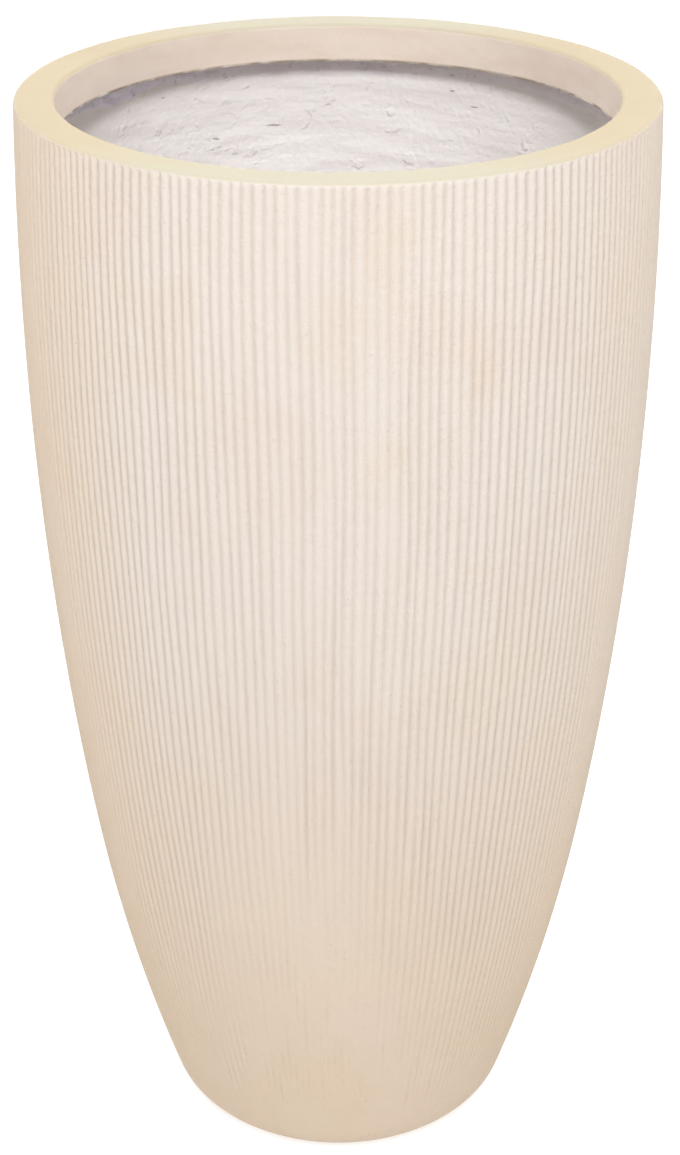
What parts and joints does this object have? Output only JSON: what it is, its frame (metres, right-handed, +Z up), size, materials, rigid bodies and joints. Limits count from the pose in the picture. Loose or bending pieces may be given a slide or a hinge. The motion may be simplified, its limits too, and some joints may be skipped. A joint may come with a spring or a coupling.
{
  "type": "floor vase",
  "caption": "Tall tapering floor vase with fine vertical ribs, a thick flat rim, a rough grey lining and a lift-out rubber plug in the drain hole of its base.",
  "frame": {"origin": "centre of the foot, on the plane that the vase stands on", "axes": "+Z up along the vase's axis, -Y towards the viewer, +X to the viewer's right"},
  "size_m": [0.376, 0.376, 0.69],
  "materials": {
    "washed_clay": "matt washed fibreclay, slightly sandy",
    "grey_backing": "rough trowelled fibre and cement",
    "cream_clay": "matt washed fibreclay, slightly sandy",
    "base_clay": "matt washed fibreclay, slightly sandy",
    "black_rubber": "matt moulded"
  },
  "bodies": {
    "vase": {"ribbed_shell": "washed_clay", "fibre_lining": "grey_backing", "rim_ring": "cream_clay", "base_slab": "base_clay"},
    "plug": {"drain_plug": "black_rubber"}
  },
  "joints": [
    {"name": "plug_lift", "type": "slide", "parent": "vase", "child": "plug", "axis": [0, 0, 1], "range_m": [0, 0.7]}
  ]
}
